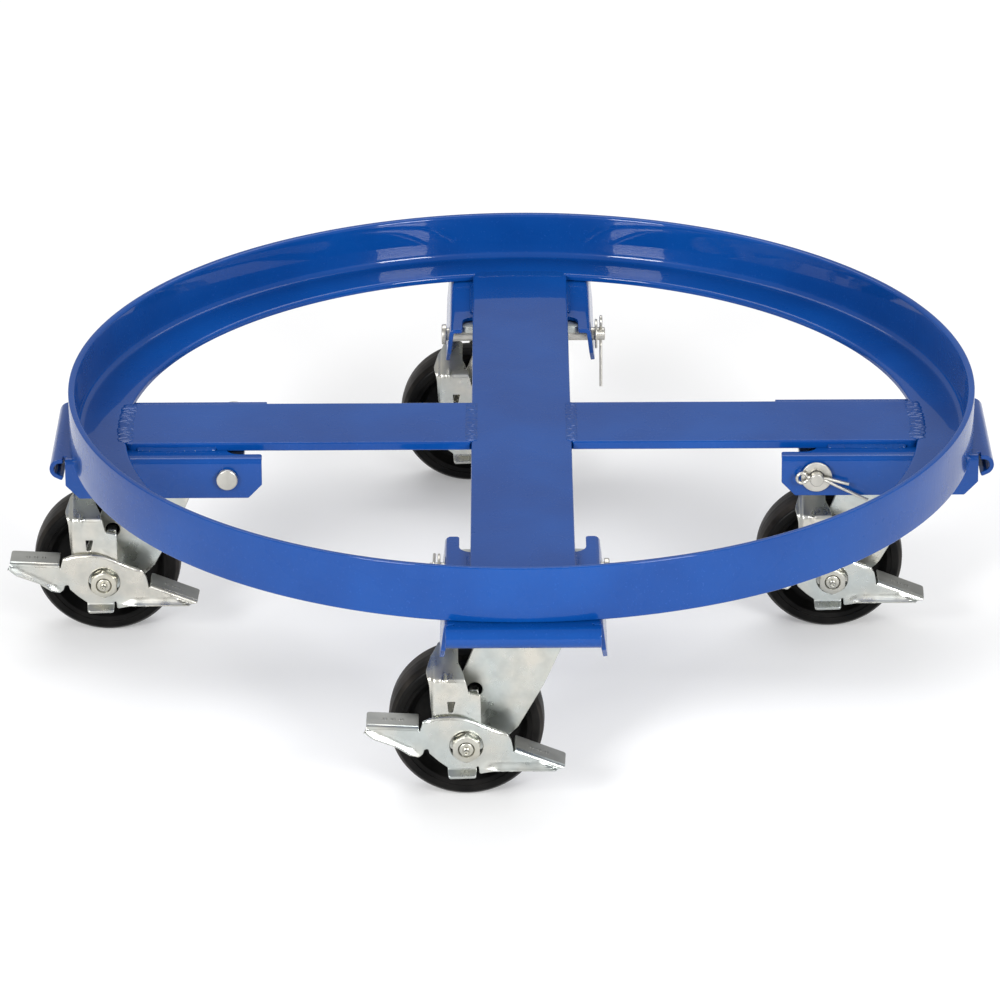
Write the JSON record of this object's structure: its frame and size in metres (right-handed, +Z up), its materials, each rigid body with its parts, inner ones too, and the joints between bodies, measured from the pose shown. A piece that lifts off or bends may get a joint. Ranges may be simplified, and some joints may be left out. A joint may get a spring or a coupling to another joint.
{
  "type": "drum dolly",
  "caption": "Low round drum dolly: angle-steel ring with a flat cross, on braked swivel casters held in folded brackets by clevis pins.",
  "frame": {"origin": "middle of the top of the cross, where the drum stands", "axes": "+Z up, +Y along the long arm away from the front, +X to the right"},
  "size_m": [0.6711, 0.639, 0.1846],
  "materials": {
    "blue_enamel": "gloss enamel",
    "zinc_plate": "bright zinc plate",
    "pin_steel": "zinc plated turned steel",
    "wheel_black": "moulded satin black",
    "bushing_steel": "turned"
  },
  "bodies": {
    "frame": {"ring": "blue_enamel", "long_arm": "blue_enamel", "left_arm": "blue_enamel", "right_arm": "blue_enamel", "right_bracket": "blue_enamel", "right_caster_plate": "zinc_plate", "right_kingpin": "zinc_plate", "right_ball_race": "zinc_plate", "rear_bracket": "blue_enamel", "rear_caster_plate": "zinc_plate", "rear_kingpin": "zinc_plate", "rear_ball_race": "zinc_plate", "left_bracket": "blue_enamel", "left_caster_plate": "zinc_plate", "left_kingpin": "zinc_plate", "left_ball_race": "zinc_plate", "front_bracket": "blue_enamel", "front_caster_plate": "zinc_plate", "front_kingpin": "zinc_plate", "front_ball_race": "zinc_plate"},
    "right_pin": {"right_clevis_pin": "pin_steel", "right_washer": "pin_steel", "right_cotter": "pin_steel"},
    "right_swivel": {"right_fork": "zinc_plate", "right_axle": "zinc_plate", "right_axle_nut": "zinc_plate"},
    "right_rolling": {"right_wheel": "wheel_black", "right_wheel_bushing": "bushing_steel"},
    "right_pedal": {"right_brake_pedal": "zinc_plate"},
    "right_lifter": {"right_brake_arm": "zinc_plate"},
    "rear_pin": {"rear_clevis_pin": "pin_steel", "rear_washer": "pin_steel", "rear_cotter": "pin_steel"},
    "rear_swivel": {"rear_fork": "zinc_plate", "rear_axle": "zinc_plate", "rear_axle_nut": "zinc_plate"},
    "rear_rolling": {"rear_wheel": "wheel_black", "rear_wheel_bushing": "bushing_steel"},
    "rear_pedal": {"rear_brake_pedal": "zinc_plate"},
    "rear_lifter": {"rear_brake_arm": "zinc_plate"},
    "left_pin": {"left_clevis_pin": "pin_steel", "left_washer": "pin_steel", "left_cotter": "pin_steel"},
    "left_swivel": {"left_fork": "zinc_plate", "left_axle": "zinc_plate", "left_axle_nut": "zinc_plate"},
    "left_rolling": {"left_wheel": "wheel_black", "left_wheel_bushing": "bushing_steel"},
    "left_pedal": {"left_brake_pedal": "zinc_plate"},
    "left_lifter": {"left_brake_arm": "zinc_plate"},
    "front_pin": {"front_clevis_pin": "pin_steel", "front_washer": "pin_steel", "front_cotter": "pin_steel"},
    "front_swivel": {"front_fork": "zinc_plate", "front_axle": "zinc_plate", "front_axle_nut": "zinc_plate"},
    "front_rolling": {"front_wheel": "wheel_black", "front_wheel_bushing": "bushing_steel"},
    "front_pedal": {"front_brake_pedal": "zinc_plate"},
    "front_lifter": {"front_brake_arm": "zinc_plate"}
  },
  "joints": [
    {"name": "right_pin_turn", "type": "hinge", "parent": "frame", "child": "right_pin", "pos_m": [0.2, 0, -0.01823], "axis": [0, 1, 0], "continuous": true},
    {"name": "right_swivel_turn", "type": "hinge", "parent": "frame", "child": "right_swivel", "pos_m": [0.25, 0, -0.02], "axis": [0, 0, 1], "continuous": true},
    {"name": "right_wheel_spin", "type": "hinge", "parent": "right_swivel", "child": "right_rolling", "pos_m": [0.213, 0, -0.10046], "axis": [0, 1, 0], "continuous": true},
    {"name": "right_brake_press", "type": "hinge", "parent": "right_swivel", "child": "right_pedal", "pos_m": [0.213, 0, -0.10046], "axis": [0, -1, 0], "range_deg": [0, 26]},
    {"name": "right_brake_lift", "type": "slide", "parent": "right_swivel", "child": "right_lifter", "axis": [0, 0, 1], "range_m": [0, 0.0026]},
    {"name": "rear_pin_turn", "type": "hinge", "parent": "frame", "child": "rear_pin", "pos_m": [0, 0.2, -0.01823], "axis": [-1, 0, 0], "continuous": true},
    {"name": "rear_swivel_turn", "type": "hinge", "parent": "frame", "child": "rear_swivel", "pos_m": [0, 0.25, -0.02], "axis": [0, 0, 1], "continuous": true},
    {"name": "rear_wheel_spin", "type": "hinge", "parent": "rear_swivel", "child": "rear_rolling", "pos_m": [-0.037, 0.25, -0.10046], "axis": [0, 1, 0], "continuous": true},
    {"name": "rear_brake_press", "type": "hinge", "parent": "rear_swivel", "child": "rear_pedal", "pos_m": [-0.037, 0.25, -0.10046], "axis": [0, -1, 0], "range_deg": [0, 26]},
    {"name": "rear_brake_lift", "type": "slide", "parent": "rear_swivel", "child": "rear_lifter", "axis": [0, 0, 1], "range_m": [0, 0.0026]},
    {"name": "left_pin_turn", "type": "hinge", "parent": "frame", "child": "left_pin", "pos_m": [-0.2, 0, -0.01823], "axis": [0, -1, 0], "continuous": true},
    {"name": "left_swivel_turn", "type": "hinge", "parent": "frame", "child": "left_swivel", "pos_m": [-0.25, 0, -0.02], "axis": [0, 0, 1], "continuous": true},
    {"name": "left_wheel_spin", "type": "hinge", "parent": "left_swivel", "child": "left_rolling", "pos_m": [-0.287, 0, -0.10046], "axis": [0, 1, 0], "continuous": true},
    {"name": "left_brake_press", "type": "hinge", "parent": "left_swivel", "child": "left_pedal", "pos_m": [-0.287, 0, -0.10046], "axis": [0, -1, 0], "range_deg": [0, 26]},
    {"name": "left_brake_lift", "type": "slide", "parent": "left_swivel", "child": "left_lifter", "axis": [0, 0, 1], "range_m": [0, 0.0026]},
    {"name": "front_pin_turn", "type": "hinge", "parent": "frame", "child": "front_pin", "pos_m": [0, -0.2, -0.01823], "axis": [1, 0, 0], "continuous": true},
    {"name": "front_swivel_turn", "type": "hinge", "parent": "frame", "child": "front_swivel", "pos_m": [0, -0.25, -0.02], "axis": [0, 0, 1], "continuous": true},
    {"name": "front_wheel_spin", "type": "hinge", "parent": "front_swivel", "child": "front_rolling", "pos_m": [-0.037, -0.25, -0.10046], "axis": [0, 1, 0], "continuous": true},
    {"name": "front_brake_press", "type": "hinge", "parent": "front_swivel", "child": "front_pedal", "pos_m": [-0.037, -0.25, -0.10046], "axis": [0, -1, 0], "range_deg": [0, 26]},
    {"name": "front_brake_lift", "type": "slide", "parent": "front_swivel", "child": "front_lifter", "axis": [0, 0, 1], "range_m": [0, 0.0026]}
  ],
  "couplings": [
    {"joint": "right_brake_lift", "follows": "right_brake_press", "m_per_rad": 0.0055},
    {"joint": "rear_brake_lift", "follows": "rear_brake_press", "m_per_rad": 0.0055},
    {"joint": "left_brake_lift", "follows": "left_brake_press", "m_per_rad": 0.0055},
    {"joint": "front_brake_lift", "follows": "front_brake_press", "m_per_rad": 0.0055}
  ]
}
